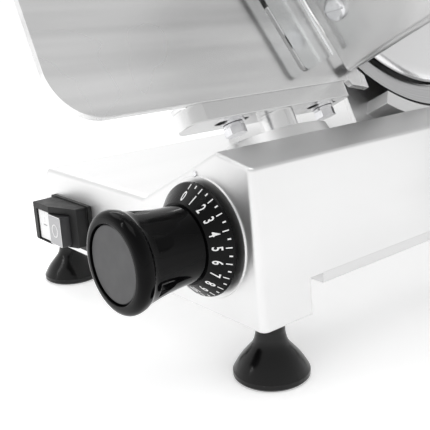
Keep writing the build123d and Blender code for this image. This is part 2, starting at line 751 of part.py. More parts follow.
with BuildPart() as knob_grip:
    with BuildSketch(Plane(origin=at(DIAL[0], 0, DIAL[1]), x_dir=(1, 0, 0), z_dir=(0, 0, 1))):
        with BuildLine():
            Polyline((DIAL_SHAFT_R, DIAL_FRONT), (25, DIAL_FRONT), (25, DIAL_FRONT - 1))
            Spline((25, DIAL_FRONT - 1), (26, -36), (28.5, -52), (31.3, -60), tangents=((0, -1), (0.5, -0.6)))
            Spline((31.3, -60), (31.0, -67), (27, -KNOB_LENGTH - 3), tangents=((0.3, -1), (-1, -0.1)))
            Polyline((27, -KNOB_LENGTH - 3), (25, -KNOB_LENGTH - 3), (25, -KNOB_LENGTH + 1),
                     (DIAL_SHAFT_R, -KNOB_LENGTH + 1), (DIAL_SHAFT_R, DIAL_FRONT))
        make_face()
    revolve(axis=Axis(at(DIAL[0], 0, DIAL[1]), (0, 1, 0)))
    with BuildSketch(on_dial(-22)) as flutes:
        with PolarLocations(33.5, 6, start_angle=30):
            Rectangle(14, 13)
        fillet(flutes.vertices(), 4)
    extrude(amount=31, mode=Mode.SUBTRACT)
save(knob_grip, "knob_grip")

with BuildPart() as knob_cap:
    with BuildSketch(on_dial(-KNOB_LENGTH + 1)):
        Circle(24)
    extrude(amount=3)
    fillet(knob_cap.faces().sort_by(Axis.Y)[0].edges(), 0.8)
save(knob_cap, "knob_cap")


def spiral(turn):
    """Centre of the cam's groove where the dial has turned that many degrees."""
    angle = radians(SLOPE - turn)
    reach = CAM_START - GAUGE_TRAVEL * turn / DIAL_TURN
    return (reach * cos(angle), reach * sin(angle))


with BuildPart() as spiral_cam:
    with BuildSketch(on_dial(CAM_Y[1])):
        Circle(CAM_R)
        Circle(DIAL_SHAFT_R, mode=Mode.SUBTRACT)
    extrude(amount=CAM_Y[1] - CAM_Y[0])
    with BuildSketch(on_dial(CAM_Y[1])):
        with BuildLine():
            Spline([spiral(turn) for turn in range(-12, int(DIAL_TURN) + 19, 6)])
        trace(line_width=2 * FOLLOWER_R + 0.6)
    extrude(amount=5, mode=Mode.SUBTRACT)
save(spiral_cam, "spiral_cam")

# ---------------------------------------------------------------- gauge

DIAL_OFFSET = at(DIAL[0], 0, DIAL[1]) - GAUGE_ORIGIN
FOLLOWER_S = DIAL_OFFSET.dot(UPSLOPE)
FOLLOWER_N = DIAL_OFFSET.dot(NORMAL) + CAM_START

with BuildPart() as gauge_plate:
    with BuildSketch(slope(-GAUGE_THICK)) as face:
        Polygon((PLATE_LEFT, 0), (220, 0), (220, PLATE_TOP), (PLATE_LEFT, PLATE_TOP), align=None)
        Polygon((146, 3), (150, -4), (170, -9.5), (174, -7), (166, 8), align=None)
        fillet(face.vertices().filter_by(lambda v: v.X < PLATE_LEFT + 1), PLATE_ROUND)
        with Locations((BLADE_Y, BLADE_S)):
            Circle(GAP_R, mode=Mode.SUBTRACT)
        with Locations((BLADE_Y + 60, BLADE_S)):
            Rectangle(300, 3 * BLADE_R, mode=Mode.SUBTRACT)
        with Locations((BLADE_Y - 20, PLATE_TOP)):
            Rectangle(150, 14, mode=Mode.SUBTRACT)
    extrude(amount=GAUGE_THICK)
    with BuildSketch(hump(0, 0, 0)):
        with Locations((-ARM_DEPTH / 2, (ARM_Y[0] + ARM_Y[1]) / 2)):
            Rectangle(ARM_DEPTH - 2, ARM_Y[1] - ARM_Y[0] - 10)
    extrude(amount=5)
save(gauge_plate, "gauge_plate")

with BuildPart() as gauge_arm:
    with BuildSketch(hump(-ARM_THICK, 0, 0)) as arm_plan:
        with Locations((-ARM_DEPTH / 2, (ARM_Y[0] + ARM_Y[1]) / 2)):
            Rectangle(ARM_DEPTH, ARM_Y[1] - ARM_Y[0])
        fillet(arm_plan.vertices().sort_by(Axis.Y)[:2], 12)
        fillet(arm_plan.vertices().sort_by(Axis.Y)[-2:], 4)
        with Locations(*[(BOLT_N, y) for y in BOLT_Y]):
            SlotOverall(28, 9, rotation=90, mode=Mode.SUBTRACT)
    extrude(amount=ARM_THICK)
    with BuildSketch(hump(-ARM_THICK, 0, 0)):
        with Locations((POST_N, POST_Y)):
            Circle(POST_R)
    extrude(amount=-(ARM_THICK - ROD_S - 24))
    # block that rides on the slide rod, reaching down to the cam
    with BuildSketch(front_plane(BLOCK_Y[0])):
        Polygon(*[(v.X - RIGHT, v.Z) for v in (
            slope_point(0, -52, BLOCK_N[0]), slope_point(0, -52, BLOCK_N[1]),
            slope_point(0, -84, BLOCK_N[1]), slope_point(0, -84, BLOCK_N[0]),
        )], align=None)
    extrude(amount=-(BLOCK_Y[1] - BLOCK_Y[0]))
    with BuildSketch(Plane(origin=slope_point(POST_Y, ROD_S, -100), x_dir=(0, 1, 0), z_dir=NORMAL)):
        Circle(ROD_R + FIT)
    extrude(amount=200, mode=Mode.SUBTRACT)
    with BuildSketch(front_plane(BLOCK_Y[0] + 6)):
        centre = slope_point(0, FOLLOWER_S, FOLLOWER_N)
        with Locations((centre.X - RIGHT, centre.Z)):
            Circle(FOLLOWER_R)
    extrude(amount=6, mode=Mode.SUBTRACT)
save(gauge_arm, "gauge_arm")

with BuildPart() as cam_follower:
    with BuildSketch(front_plane(BLOCK_Y[0] + 6)):
        with Locations((centre.X - RIGHT, centre.Z)):
            Circle(FOLLOWER_R)
    extrude(amount=BLOCK_Y[0] + 6 - CAM_Y[1] + 4)
save(cam_follower, "cam_follower")

with BuildPart() as gauge_bolts:
    with BuildSketch(hump(-ARM_THICK - 4, 0, 0)):
        with Locations(*[(BOLT_N, y) for y in BOLT_Y]):
            RegularPolygon(7.5, 6)
    extrude(amount=-5.5)
    with BuildSketch(hump(-ARM_THICK - 4, 0, 0)):
        with Locations(*[(BOLT_N, y) for y in BOLT_Y]):
            Circle(4)
    extrude(amount=4 + ARM_THICK)
save(gauge_bolts, "gauge_bolts")

with BuildPart() as gauge_washers:
    for drop, radius in ((1.8, 8.5), (4, 7)):
        with BuildSketch(hump(-ARM_THICK - drop, 0, 0)):
            with Locations(*[(BOLT_N, y) for y in BOLT_Y]):
                Circle(radius)
                Circle(4, mode=Mode.SUBTRACT)
        extrude(amount=1.8)
save(gauge_washers, "gauge_washers")

with BuildPart() as gauge_slide_rod:
    with BuildSketch(Plane(origin=slope_point(POST_Y, ROD_S, -62), x_dir=(0, 1, 0), z_dir=NORMAL)):
        Circle(ROD_R)
    extrude(amount=64)
save(gauge_slide_rod, "gauge_slide_rod")

with BuildPart() as slide_bracket:
    for start in (-62, -1):
        with BuildSketch(Plane(origin=slope_point(POST_Y, 0, start), x_dir=(0, 1, 0), z_dir=NORMAL)):
            with Locations((0, -59)):
                Rectangle(34, 32)
        extrude(amount=6)
    with BuildSketch(hump(-44)):
        with Locations((-16, 0)):
            Rectangle(60, 46)
    extrude(amount=5.2)
    with BuildSketch(hump(-50)):
        with Locations((-GAUGE_TRAVEL / 2, 0)):
            SlotOverall(2 * POST_R + GAUGE_TRAVEL + 4, 2 * POST_R + 2)
    extrude(amount=20, mode=Mode.SUBTRACT)
    with BuildSketch(Plane(origin=slope_point(POST_Y, ROD_S, -100), x_dir=(0, 1, 0), z_dir=NORMAL)):
        Circle(ROD_R)
    extrude(amount=200, mode=Mode.SUBTRACT)
save(slide_bracket, "slide_bracket")

# ---------------------------------------------------------------- carriage


# the rod that carries the slide block, and the bar above it that keeps the block upright
with BuildPart() as carriage_rods:
    with BuildSketch(front_plane(BASE_WALL)):
        with Locations(CARRIAGE_ROD):
            Circle(CARRIAGE_ROD_R)
        with Locations((CARRIAGE_ROD[0], GUIDE_Z)):
            Circle(GUIDE_R)
    extrude(amount=-(BASE_LENGTH - 2 * BASE_WALL))
save(carriage_rods, "carriage_rods")

with BuildPart() as slide_block:
    with BuildSketch(front_plane(SLIDE_Y[0])):
        Polygon(
            (-27, 60), (-7.5, 60), (-8.8, 88), (-10, 90), (-10, 103), (-24, 103), (-24, 90), (-27, 86),
            align=None,
        )
        with Locations(CARRIAGE_ROD):
            Circle(CARRIAGE_ROD_R + 1.5, mode=Mode.SUBTRACT)
        with Locations((CARRIAGE_ROD[0], GUIDE_Z + 4)):
            Rectangle(2 * GUIDE_R + 0.2, 16, mode=Mode.SUBTRACT)
    extrude(amount=-(SLIDE_Y[1] - SLIDE_Y[0]))
    with BuildSketch(front_plane(CARRIAGE_ARM_Y[0])):
        Polygon((-27, 61), (-9, 61), (-9, 46), (-27, 46), align=None)
    extrude(amount=-(CARRIAGE_ARM_Y[1] - CARRIAGE_ARM_Y[0]))
save(slide_block, "slide_block")


# bronze bushes pressed into both ends of the slide block; they run on the carriage rod
with BuildPart() as bushings:
    for start in (SLIDE_Y[0], SLIDE_Y[1] - 18):
        with BuildSketch(front_plane(start)):
            with Locations(CARRIAGE_ROD):
                Circle(CARRIAGE_ROD_R + 1.5)
                Circle(CARRIAGE_ROD_R + FIT, mode=Mode.SUBTRACT)
        extrude(amount=-18)
save(bushings, "bushings")

with BuildPart() as carriage_arm:
    with BuildSketch(front_plane(CARRIAGE_ARM_Y[0])) as side:
        Polygon(
            (-9, 46), (24, 46), (40, 56), (47, 80), (43, 236), (34, 246), (26, 240), (33, 88),
            (28, 68), (18, 59), (-9, 59),
            align=None,
        )
    extrude(amount=-(CARRIAGE_ARM_Y[1] - CARRIAGE_ARM_Y[0]))
    with BuildSketch(floor_plane(-TRAY_SHEET - 8)) as saddle:
        with Locations(((SADDLE[0] + SADDLE[1]) / 2, (SADDLE[2] + SADDLE[3]) / 2)):
            RectangleRounded(SADDLE[1] - SADDLE[0], SADDLE[3] - SADDLE[2], 8)
    extrude(amount=8)
    with BuildSketch(floor_plane(-50)):
        with Locations((124, 128)):
            Circle(17)
    extrude(amount=44)
    with BuildSketch(floor_plane(-70)):
        with Locations((124, 128)):
            Circle(LOCK_R)
    extrude(amount=50, mode=Mode.SUBTRACT)
save(carriage_arm, "carriage_arm")

with BuildPart() as lock_knob:
    with BuildSketch(floor_plane(-72)):
        with Locations((124, 128)):
            Circle(15)
            with PolarLocations(18.5, 6):
                Circle(5.5, mode=Mode.SUBTRACT)
    extrude(amount=16)
    fillet(lock_knob.faces().filter_by(lambda f: abs(f.normal_at().dot(TRAY_UP)) > 0.9).edges(), 1.2)
    with BuildSketch(floor_plane(-57)):
        with Locations((124, 128)):
            Circle(8)
    extrude(amount=6.5)
    with BuildSketch(floor_plane(-51)):
        with Locations((124, 128)):
            Circle(LOCK_R - FIT)
    extrude(amount=26)
save(lock_knob, "lock_knob")

with BuildPart() as meat_tray:
    with BuildSketch(side_plane(TRAY_LEFT)) as bend:
        Polygon(
            (-TRAY_SHEET, -TRAY_LIP), (26, -TRAY_LIP), (34, -TRAY_SHEET), (FLOOR_DEPTH, -TRAY_SHEET),
            (FLOOR_DEPTH, 0), (0, 0), (0, FENCE_HEIGHT), (-TRAY_SHEET, FENCE_HEIGHT),
            align=None,
        )
        fillet(bend.vertices().sort_by(Axis.X)[:2].sort_by(Axis.Y)[:1], 4.5)
    extrude(amount=FENCE_WIDTH - TRAY_LEFT)
    fence_top = meat_tray.edges().filter_by(lambda e: abs(e.tangent_at(0.5).dot(TRAY_BACK)) > 0.9)
    fence_top = fence_top.filter_by(lambda e: e.length < 2 * TRAY_SHEET)
    fillet(fence_top.sort_by(Axis(TRAY_ORIGIN, NORMAL + TRAY_UP))[-1:], 30)
    # outer wall of the tray
    with BuildSketch(floor_plane(-TRAY_SHEET)):
        with Locations((FENCE_WIDTH - TRAY_SHEET / 2, FLOOR_DEPTH / 2)):
            Rectangle(TRAY_SHEET, FLOOR_DEPTH)
    extrude(amount=36)
    with BuildSketch(fence_plane(6)):
        with Locations(*FENCE_SCREWS):
            Circle(SCREW_R)
    extrude(amount=20, mode=Mode.SUBTRACT)
save(meat_tray, "meat_tray")

with BuildPart() as hand_guard:
    with BuildSketch(side_plane(0)) as guard_shape:
        Polygon(
            (GUARD_E[0], GUARD_D[0]), (GUARD_E[1], GUARD_D[0] + 1), (GUARD_E[1], 62), (-TRAY_SHEET, 74),
            (-TRAY_SHEET, GUARD_D[1]), (GUARD_E[0], GUARD_D[1]),
            align=None,
        )
        fillet(guard_shape.vertices().sort_by(Axis.X)[:2], 5)
    extrude(amount=GUARD_THICK)
    with BuildSketch(fence_plane(-TRAY_SHEET)):
        with Locations((13, (74 + GUARD_D[1]) / 2)):
            Rectangle(26, GUARD_D[1] - 74)
    extrude(amount=GUARD_THICK)
    with BuildSketch(fence_plane(6)):
        with Locations(*FENCE_SCREWS[1:]):
            Circle(SCREW_R)
    extrude(amount=30, mode=Mode.SUBTRACT)
save(hand_guard, "hand_guard")

with BuildPart() as guard_screws:
    for place, seat in zip(FENCE_SCREWS, (-TRAY_SHEET, -TRAY_SHEET - GUARD_THICK, -TRAY_SHEET - GUARD_THICK)):
        with BuildSketch(fence_plane(seat)):
            with Locations(place):
                Circle(min(SCREW_HEAD, place[0] - GUARD_THICK - GAP))
        extrude(amount=4)
        crowns = guard_screws.faces().filter_by(lambda f: f.normal_at().dot(-TRAY_BACK) > 0.99)
        head = tray_point(place[0], seat - 4, place[1])
        fillet(crowns.sort_by(lambda f: (f.center() - head).length)[0].edges(), 3)
        with BuildSketch(fence_plane(0)):
            with Locations(place):
                Circle(SCREW_R)
        extrude(amount=-seat)
        with BuildSketch(fence_plane(seat - 3)):
            with Locations(place):
                Rectangle(3 * SCREW_HEAD, 1.6, rotation=-18)
        extrude(amount=4, mode=Mode.SUBTRACT)
save(guard_screws, "guard_screws")

# ---------------------------------------------------------------- pusher


def rod_plane(m):
    """Square to the pusher rod at m, centred on it."""
    return Plane(origin=tray_point(m, PIVOT_E, PIVOT_D), x_dir=TRAY_BACK, z_dir=NORMAL)


with BuildPart() as pusher_rod:
    with BuildSketch(rod_plane(2)):
        Circle(PUSHER_ROD_R)
    extrude(amount=FENCE_WIDTH + 4)
    chamfer(pusher_rod.edges(), 1)
save(pusher_rod, "pusher_rod")


# clamp blocks that carry the pusher rod on the back of the fence
with BuildPart() as rod_holders:
    for m in (4, FENCE_WIDTH - 11):
        with BuildSketch(rod_plane(m)):
            Circle(10)
            with Locations((-PIVOT_E / 2, -4)):
                Rectangle(PIVOT_E, 28)
            Circle(PUSHER_ROD_R, mode=Mode.SUBTRACT)
        extrude(amount=9)
save(rod_holders, "rod_holders")

with BuildPart() as pusher_collar:
    with BuildSketch(rod_plane(PUSHER_M - 4)):
        Circle(9)
        Circle(PUSHER_ROD_R + FIT, mode=Mode.SUBTRACT)
    extrude(amount=26)
save(pusher_collar, "pusher_collar")

with BuildPart() as pusher_arm:
    with BuildSketch(rod_plane(PUSHER_M)):
        Circle(11.5)
        with Locations((46, -6)):
            Rectangle(92, 15, rotation=-8)
    extrude(amount=10)
    with BuildSketch(rod_plane(PUSHER_M - 10)):
        Circle(9 + FIT)
    extrude(amount=40, mode=Mode.SUBTRACT)
save(pusher_arm, "pusher_arm")

with BuildPart() as pusher_plate:
    with BuildSketch(rod_plane(PUSHER_M - 4)) as plate_shape:
        with Locations((90, -56)):
            RectangleRounded(104, 88, 10)
        Circle(24, mode=Mode.SUBTRACT)
    extrude(amount=4)
    with BuildSketch(rod_plane(PUSHER_M - 3.5)):
        with Locations((90, -56)):
            with GridLocations(20, 18, 5, 4):
                Circle(2)
    extrude(amount=-6.5, taper=14)
save(pusher_plate, "pusher_plate")

with BuildPart() as pusher_handle:
    with BuildSketch(rod_plane(PUSHER_M + 10)):
        with Locations((80, -11)):
            Circle(9)
    extrude(amount=16)
    with BuildSketch(rod_plane(PUSHER_M + 26)):
        with Locations((80, -11)):
            Circle(14)
    extrude(amount=26, taper=-6)
    fillet(pusher_handle.faces().filter_by(lambda f: f.normal_at().dot(NORMAL) > 0.95).sort_by(Axis.X)[-1:].edges(), 5)
save(pusher_handle, "pusher_handle")

# ---------------------------------------------------------------- sharpener


def post_plane(s):
    """Square to the sharpener's post, s above the blade's axis."""
    origin = slope_point(BLADE_Y + POST_AT[0], BLADE_S + s, POST_AT[1])
    return Plane(origin=origin, x_dir=(0, 1, 0), z_dir=UPSLOPE)


def stone_plane(n):
    """Parallel to the blade at n, centred on the stones' axis."""
    return Plane(origin=slope_point(BLADE_Y, BLADE_S + STONE_S, n), x_dir=(0, 1, 0), z_dir=NORMAL)


with BuildPart() as sharpener_post:
    with BuildSketch(post_plane(121)):
        Circle(SHARPENER_POST_R)
    extrude(amount=60)
save(sharpener_post, "sharpener_post")

with BuildPart() as sharpener_body:
    with BuildSketch(hub_plane(HEAD_N[0])) as head:
        with Locations(HEAD[:2]):
            RectangleRounded(HEAD[2], HEAD[3], 10)
    extrude(amount=HEAD_N[1] - HEAD_N[0])
    head_faces = sharpener_body.faces().filter_by(lambda f: abs(f.normal_at().dot(NORMAL)) > 0.95)
    fillet(head_faces.edges(), 4)
    with BuildSketch(hub_plane(-22)):
        with Locations((0, 146)):
            Rectangle(50, 46)
    extrude(amount=36, mode=Mode.SUBTRACT)
    with BuildSketch(stone_plane(-50)):
        Circle(SPINDLE_R + FIT)
    extrude(amount=100, mode=Mode.SUBTRACT)
    with BuildSketch(post_plane(100)):
        Circle(SHARPENER_POST_R + FIT)
    extrude(amount=82, mode=Mode.SUBTRACT)
save(sharpener_body, "sharpener_body")

with BuildPart() as sharpener_knob:
    with BuildSketch(post_plane(HEAD[1] + HEAD[3] / 2 + 0.3)):
        Circle(8)
    extrude(amount=6)
    with BuildSketch(post_plane(HEAD[1] + HEAD[3] / 2 + 5)):
        Circle(14)
        with PolarLocations(17.5, 6):
            Circle(5.5, mode=Mode.SUBTRACT)
    extrude(amount=12)
    fillet(sharpener_knob.faces().filter_by(lambda f: f.normal_at().dot(UPSLOPE) > 0.9).sort_by(Axis.Z)[-1:].edges(), 1.5)
save(sharpener_knob, "sharpener_knob")


def stone(start, name):
    """Abrasive wheel that turns on its plunger's spindle."""
    with BuildPart() as piece:
        with BuildSketch(stone_plane(start)):
            Circle(STONE_R)
            Circle(SPINDLE_R - 1 + FIT, mode=Mode.SUBTRACT)
        extrude(amount=STONE_THICK)
        chamfer(piece.edges().filter_by(lambda e: e.length > 2 * pi * (STONE_R - 1)), 0.8)
    save(piece, name)


stone(STONE_FACE[0] - STONE_THICK, "grinding_stone")
stone(STONE_FACE[1], "honing_stone")


def plunger(inner, outer, name):
    """Spindle and push button of one stone; inner is the end near the blade, outer the button's face."""
    side = 1 if outer > inner else -1
    with BuildPart() as piece:
        with BuildSketch(stone_plane(inner)):
            Circle(SPINDLE_R - 1)
        extrude(amount=side * (STONE_THICK + 1))
        with BuildSketch(stone_plane(inner + side * (STONE_THICK + 0.5))):
            Circle(SPINDLE_R)
        extrude(amount=outer - inner - side * (STONE_THICK + 0.5))
        with BuildSketch(stone_plane(outer - side * 5)):
            Circle(9)
        extrude(amount=side * 5)
        fillet(piece.faces().sort_by(Axis(GAUGE_ORIGIN, NORMAL * side))[-1].edges(), 1.2)
    save(piece, name)


plunger(STONE_FACE[0], HEAD_N[0] - 10, "grinding_plunger")
plunger(STONE_FACE[1], HEAD_N[1] + 10, "honing_plunger")

# ---------------------------------------------------------------- slice deflector

with BuildPart() as slice_deflector:
    with BuildSketch(Plane(origin=slope_point(BLADE_Y, BLADE_S - 55, 0), x_dir=(0, 1, 0), z_dir=-UPSLOPE)):
        Polygon(
            (-104, -8.5), (-62, -19), (-30, -19), (-30, -21), (-62.5, -21), (-104, -10.5),
            align=None,
        )
    extrude(amount=-110)
save(slice_deflector, "slice_deflector")
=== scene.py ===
from math import cos, pi, radians, sin

import bmesh
import bpy
from mathutils import Matrix, Vector


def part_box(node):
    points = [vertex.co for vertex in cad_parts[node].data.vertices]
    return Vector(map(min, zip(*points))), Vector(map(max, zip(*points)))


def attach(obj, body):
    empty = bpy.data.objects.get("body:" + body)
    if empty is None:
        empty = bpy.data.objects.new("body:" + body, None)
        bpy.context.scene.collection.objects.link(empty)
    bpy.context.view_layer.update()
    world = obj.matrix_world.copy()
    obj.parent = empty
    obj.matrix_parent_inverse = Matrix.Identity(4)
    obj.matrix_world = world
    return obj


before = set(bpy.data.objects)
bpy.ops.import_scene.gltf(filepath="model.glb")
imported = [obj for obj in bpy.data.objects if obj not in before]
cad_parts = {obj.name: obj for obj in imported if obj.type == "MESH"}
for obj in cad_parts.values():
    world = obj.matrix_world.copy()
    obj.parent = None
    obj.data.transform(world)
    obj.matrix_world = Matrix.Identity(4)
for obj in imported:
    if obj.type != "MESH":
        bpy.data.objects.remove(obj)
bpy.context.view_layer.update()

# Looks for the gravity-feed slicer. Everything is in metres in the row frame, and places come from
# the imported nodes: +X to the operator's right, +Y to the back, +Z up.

scene = bpy.context.scene

# ---------------------------------------------------------------- places

SEAT = 0.0008       # the dial's machined seat stands this far in front of the wall
base_low, base_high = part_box("base_casting")
# bottom front right corner of the base's walls
CORNER = Vector((base_high.x, base_low.y + SEAT, 0.0))


def middle(node):
    low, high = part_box(node)
    return (low + high) / 2


LEAN = radians(27)
NORMAL = Vector((cos(LEAN), 0, sin(LEAN)))
UPSLOPE = Vector((-sin(LEAN), 0, cos(LEAN)))
BACK = Vector((0, 1, 0))

dial_low, dial_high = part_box("dial_skirt")
DIAL = Vector((middle("dial_skirt").x, dial_high.y, middle("dial_skirt").z))
BLADE = middle("blade_shaft")

# ---------------------------------------------------------------- materials


class Look:
    """One Principled material with its texture chain."""

    def __init__(self, name, colour, metallic=0.0, roughness=0.4, **sockets):
        self.material = bpy.data.materials.new(name)
        self.material.use_nodes = True
        self.tree = self.material.node_tree
        self.shader = self.tree.nodes["Principled BSDF"]
        self.set("Base Color", (*colour, 1))
        self.set("Metallic", metallic)
        self.set("Roughness", roughness)
        for socket, value in sockets.items():
            self.set(socket.replace("_", " "), value)
        self.normal = None
        self.place = self.node("ShaderNodeTexCoord").outputs["Object"]

    def set(self, socket, value):
        self.shader.inputs[socket].default_value = value

    def node(self, kind, **settings):
        made = self.tree.nodes.new(kind)
        for key, value in settings.items():
            setattr(made, key, value)
        return made

    def link(self, a, b):
        self.tree.links.new(a, b)

    def stretched(self, scale):
        """The place, scaled along each axis, so that a texture runs in one direction."""
        mapping = self.node("ShaderNodeMapping")
        mapping.inputs["Scale"].default_value = scale
        self.link(self.place, mapping.inputs["Vector"])
        return mapping.outputs["Vector"]

    def noise(self, scale, detail, place=None):
        made = self.node("ShaderNodeTexNoise")
        made.inputs["Scale"].default_value = scale
        made.inputs["Detail"].default_value = detail
        self.link(place or self.place, made.inputs["Vector"])
        return made.outputs["Fac"]

    def radius(self, centre, axis):
        """Distance from an axis, for turned and ground faces."""
        away = self.node("ShaderNodeVectorMath", operation="SUBTRACT")
        away.inputs[1].default_value = centre
        self.link(self.place, away.inputs[0])
        across = self.node("ShaderNodeVectorMath", operation="CROSS_PRODUCT")
        across.inputs[1].default_value = axis
        self.link(away.outputs[0], across.inputs[0])
        length = self.node("ShaderNodeVectorMath", operation="LENGTH")
        self.link(across.outputs[0], length.inputs[0])
        return length.outputs["Value"]

    def rings(self, centre, axis, scale):
        """Noise that only changes with the distance from an axis."""
        made = self.node("ShaderNodeTexNoise", noise_dimensions="1D")
        made.inputs["Scale"].default_value = scale
        made.inputs["Detail"].default_value = 4.0
        self.link(self.radius(centre, axis), made.inputs["W"])
        return made.outputs["Fac"]

    def vary(self, socket, fac, low, high):
        """Drive a number socket between low and high."""
        scale = self.node("ShaderNodeMapRange", interpolation_type="SMOOTHSTEP")
        scale.inputs["From Min"].default_value = 0.15
        scale.inputs["From Max"].default_value = 0.85
        scale.inputs["To Min"].default_value = low
        scale.inputs["To Max"].default_value = high
        self.link(fac, scale.inputs["Value"])
        self.link(scale.outputs["Result"], self.shader.inputs[socket])
        return self

    def tint(self, fac, dark, light, low=0.2, high=0.8):
        """Base colour between two shades."""
        ramp = self.node("ShaderNodeValToRGB")
        ramp.color_ramp.interpolation = "EASE"
        ramp.color_ramp.elements[0].color = (*dark, 1)
        ramp.color_ramp.elements[1].color = (*light, 1)
        ramp.color_ramp.elements[0].position = low
        ramp.color_ramp.elements[1].position = high
        self.link(fac, ramp.inputs["Fac"])
        self.link(ramp.outputs["Color"], self.shader.inputs["Base Color"])
        return self

    def rounded(self, radius):
        """Soft edges in the shading."""
        made = self.node("ShaderNodeBevel", samples=6)
        made.inputs["Radius"].default_value = radius
        self.normal = made.outputs["Normal"]
        self.link(self.normal, self.shader.inputs["Normal"])
        return self

    def bump(self, fac, strength, distance):
        made = self.node("ShaderNodeBump")
        made.inputs["Strength"].default_value = strength
        made.inputs["Distance"].default_value = distance
        self.link(fac, made.inputs["Height"])
        if self.normal:
            self.link(self.normal, made.inputs["Normal"])
        self.normal = made.outputs["Normal"]
        self.link(self.normal, self.shader.inputs["Normal"])
        return self


def satin(name, shade, grain, along, smooth, rough, streaks=0.15, sheen_depth=0.012, spacing=22, edge=0.0008):
    """Brushed aluminium: fine grain, soft streaks, smudges in the gloss, rounded edges.

    Streaks run along the axis with the small scale. The base colour is also painted with soft lighter and
    darker bands along the same axis at the larger spacing. These are painted reflections of the room in the
    brushed metal, and the band depth argument is how far they change the shade.
    """
    look = Look(name, (shade, shade, shade * 1.004), metallic=1.0)
    look.rounded(edge)
    look.vary("Roughness", look.noise(14, 2), smooth, rough)
    brushed = look.noise(1400, 2, look.stretched(along))
    # painted reflection: soft light and dark bands in the base colour, running along the brushing
    sheen_bands = look.noise(spacing, 2, look.stretched(along))
    look.tint(sheen_bands, (shade * (1 - sheen_depth),) * 3, (shade * (1 + sheen_depth),) * 3)
    look.bump(brushed, streaks, 0.000012)
    look.bump(look.noise(grain, 2), 0.1, 0.000015)
    return look.material


M = {}
M["cast"] = satin("cast_aluminium", 0.82, 1700, (1, 0.08, 1), smooth=0.36, rough=0.44, sheen_depth=0.02)
M["housing"] = satin("housing_aluminium", 0.78, 1700, (1, 1, 0.08), smooth=0.22, rough=0.32)
# the gauge plate carries the strongest painted reflection bands
M["gauge"] = satin("gauge_aluminium", 0.84, 2200, (1, 0.06, 1), smooth=0.2, rough=0.3,
                   streaks=0.3, sheen_depth=0.13, spacing=60)
M["tray"] = satin("tray_aluminium", 0.62, 2200, (0.12, 1, 1), smooth=0.2, rough=0.28,
                  streaks=0.3, sheen_depth=0.03)
M["arm"] = satin("arm_aluminium", 0.78, 2000, (1, 0.1, 1), smooth=0.2, rough=0.3, edge=0.0012)

cover = Look("cover_aluminium", (0.86, 0.86, 0.865), metallic=1.0).rounded(0.0006)
cover.vary("Roughness", cover.noise(30, 3), 0.16, 0.26)
cover.bump(cover.rings(BLADE, NORMAL, 2600), 0.15, 0.00001)
M["cover"] = cover.material

blade = Look("blade_steel", (0.55, 0.55, 0.56), metallic=1.0)
blade.vary("Roughness", blade.noise(40, 3), 0.15, 0.24)
blade.tint(blade.rings(BLADE, NORMAL, 900), (0.50, 0.50, 0.505), (0.60, 0.60, 0.605))
blade.bump(blade.rings(BLADE, NORMAL, 3500), 0.2, 0.00001)
M["blade"] = blade.material

turned = Look("turned_steel", (0.72, 0.72, 0.735), metallic=1.0).rounded(0.0004)
turned.vary("Roughness", turned.noise(60, 3), 0.14, 0.24)
turned.bump(turned.noise(1600, 2), 0.1, 0.00002)
M["steel"] = turned.material

zinc = Look("zinc_plate", (0.76, 0.76, 0.78), metallic=1.0).rounded(0.0004)
zinc.vary("Roughness", zinc.noise(300, 3), 0.12, 0.28)
zinc.tint(zinc.noise(90, 2), (0.66, 0.66, 0.68), (0.82, 0.82, 0.83))
zinc.bump(zinc.noise(2500, 2), 0.15, 0.00002)
M["zinc"] = zinc.material

gloss = Look("black_gloss_plastic", (0.0015, 0.0015, 0.0017),
             roughness=0.1, Specular_IOR_Level=0.1).rounded(0.0008)
gloss.vary("Roughness", gloss.noise(70, 4), 0.05, 0.12)
gloss.bump(gloss.noise(420, 2), 0.04, 0.00002)
M["gloss"] = gloss.material

dial = Look("dial_black", (0.002, 0.002, 0.0022), roughness=0.25, Specular_IOR_Level=0.14).rounded(0.0004)
dial.vary("Roughness", dial.noise(120, 3), 0.2, 0.3)
dial.bump(dial.rings(DIAL, BACK, 4200), 0.1, 0.00002)
M["dial"] = dial.material

cap = Look("cap_grey_plastic", (0.055, 0.055, 0.057), roughness=0.5).rounded(0.0005)
cap.vary("Roughness", cap.noise(90, 3), 0.42, 0.56)
cap.bump(cap.noise(2600, 2), 0.25, 0.00003)
M["cap"] = cap.material

matte = Look("matte_black_plastic", (0.006, 0.006, 0.0062),
             roughness=0.5, Specular_IOR_Level=0.35).rounded(0.0005)
matte.vary("Roughness", matte.noise(120, 3), 0.38, 0.55)
matte.bump(matte.noise(2200, 3), 0.3, 0.00005)
M["matte"] = matte.material

white = Look("white_plastic", (0.88, 0.88, 0.88), roughness=0.3).rounded(0.0006)
white.vary("Roughness", white.noise(150, 3), 0.24, 0.38)
white.bump(white.noise(1500, 2), 0.05, 0.00002)
M["white"] = white.material

foot = Look("foot_rubber", (0.003, 0.003, 0.003), roughness=0.2, Specular_IOR_Level=0.34).rounded(0.0006)
foot.vary("Roughness", foot.noise(80, 4), 0.14, 0.24)
foot.bump(foot.noise(900, 3), 0.06, 0.00002)
M["foot"] = foot.material

belt = Look("belt_rubber", (0.02, 0.02, 0.02), roughness=0.6)
belt.vary("Roughness", belt.noise(200, 3), 0.5, 0.7)
belt.bump(belt.noise(1800, 3), 0.3, 0.00006)
M["belt"] = belt.material

bronze = Look("sintered_bronze", (0.45, 0.28, 0.12), metallic=1.0, roughness=0.4)
bronze.vary("Roughness", bronze.noise(300, 3), 0.32, 0.5)
bronze.bump(bronze.noise(4000, 2), 0.3, 0.00003)
M["bronze"] = bronze.material

paint = Look("motor_paint", (0.05, 0.052, 0.055), roughness=0.4).rounded(0.0006)
paint.vary("Roughness", paint.noise(100, 3), 0.32, 0.5)
paint.bump(paint.noise(900, 3), 0.2, 0.00006)
M["paint"] = paint.material

